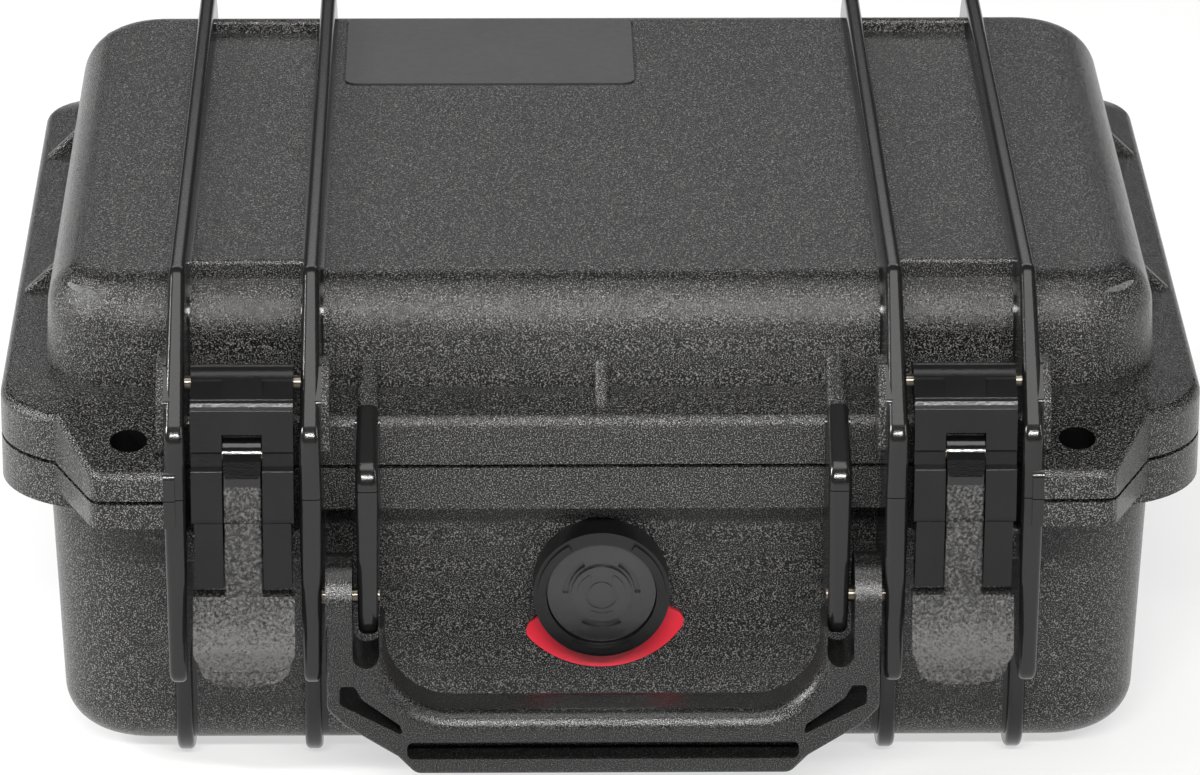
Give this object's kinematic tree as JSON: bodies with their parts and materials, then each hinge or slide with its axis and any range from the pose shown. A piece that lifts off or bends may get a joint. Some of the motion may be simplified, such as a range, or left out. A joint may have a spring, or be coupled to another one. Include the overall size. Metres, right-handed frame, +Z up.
{
  "type": "protective hard case",
  "caption": "Small moulded hard case with a hinged lid, two over-centre latches, a folding handle, padlock tabs and a pressure valve.",
  "frame": {"origin": "middle of the whole case's plan, on the surface that it stands on", "axes": "+X to the right seen from the latches, +Y from the latches to the hinges, +Z up"},
  "size_m": [0.269, 0.2459, 0.124],
  "materials": {
    "shell": "moulded fine pebble texture",
    "latch": "smooth satin",
    "lever": "coarse spark texture",
    "handle": "moulded fine texture",
    "valve": "smooth satin",
    "badge": "smooth",
    "plate": "fine satin",
    "seal": "smooth",
    "membrane": "fine membrane",
    "foam": "open-cell foam",
    "steel": "drawn"
  },
  "bodies": {
    "base": {"base_shell": "shell", "base_padlock_tab_left": "shell", "base_padlock_tab_right": "shell", "base_foam": "foam", "hinge_pin_left": "steel", "hinge_pin_right": "steel", "handle_pin_left": "steel", "handle_pin_right": "steel", "valve_body": "valve", "valve_cap": "valve", "valve_nut": "valve", "valve_seal": "seal", "valve_membrane": "membrane", "valve_badge": "badge"},
    "lid": {"lid_shell": "shell", "lid_padlock_tab_left": "shell", "lid_padlock_tab_right": "shell", "lid_seal": "seal", "lid_nameplate": "plate", "lid_foam": "foam", "latch_left_arm_pin": "steel", "latch_right_arm_pin": "steel"},
    "latch_left": {"latch_left_arm": "latch", "latch_left_lever_pin": "steel"},
    "latch_left_lever": {"latch_left_lever": "lever"},
    "latch_right": {"latch_right_arm": "latch", "latch_right_lever_pin": "steel"},
    "latch_right_lever": {"latch_right_lever": "lever"},
    "handle": {"handle": "handle"}
  },
  "joints": [
    {"name": "lid_hinge", "type": "hinge", "parent": "base", "child": "lid", "pos_m": [0, 0.1188, 0.081], "axis": [-1, 0, 0], "range_deg": [0, 105]},
    {"name": "latch_left_swing", "type": "hinge", "parent": "lid", "child": "latch_left", "pos_m": [-0.0791, -0.1052, 0.1038], "axis": [-1, 0, 0], "range_deg": [0, 150]},
    {"name": "latch_left_lever_swing", "type": "hinge", "parent": "latch_left", "child": "latch_left_lever", "pos_m": [-0.0791, -0.1142, 0.0905], "axis": [-1, 0, 0], "range_deg": [0, 60]},
    {"name": "latch_right_swing", "type": "hinge", "parent": "lid", "child": "latch_right", "pos_m": [0.0791, -0.1052, 0.1038], "axis": [-1, 0, 0], "range_deg": [0, 150]},
    {"name": "latch_right_lever_swing", "type": "hinge", "parent": "latch_right", "child": "latch_right_lever", "pos_m": [0.0791, -0.1142, 0.0905], "axis": [-1, 0, 0], "range_deg": [0, 60]},
    {"name": "handle_swing", "type": "hinge", "parent": "base", "child": "handle", "pos_m": [0, -0.1097, 0.0548], "axis": [-1, 0, 0], "range_deg": [-10, 105]}
  ]
}
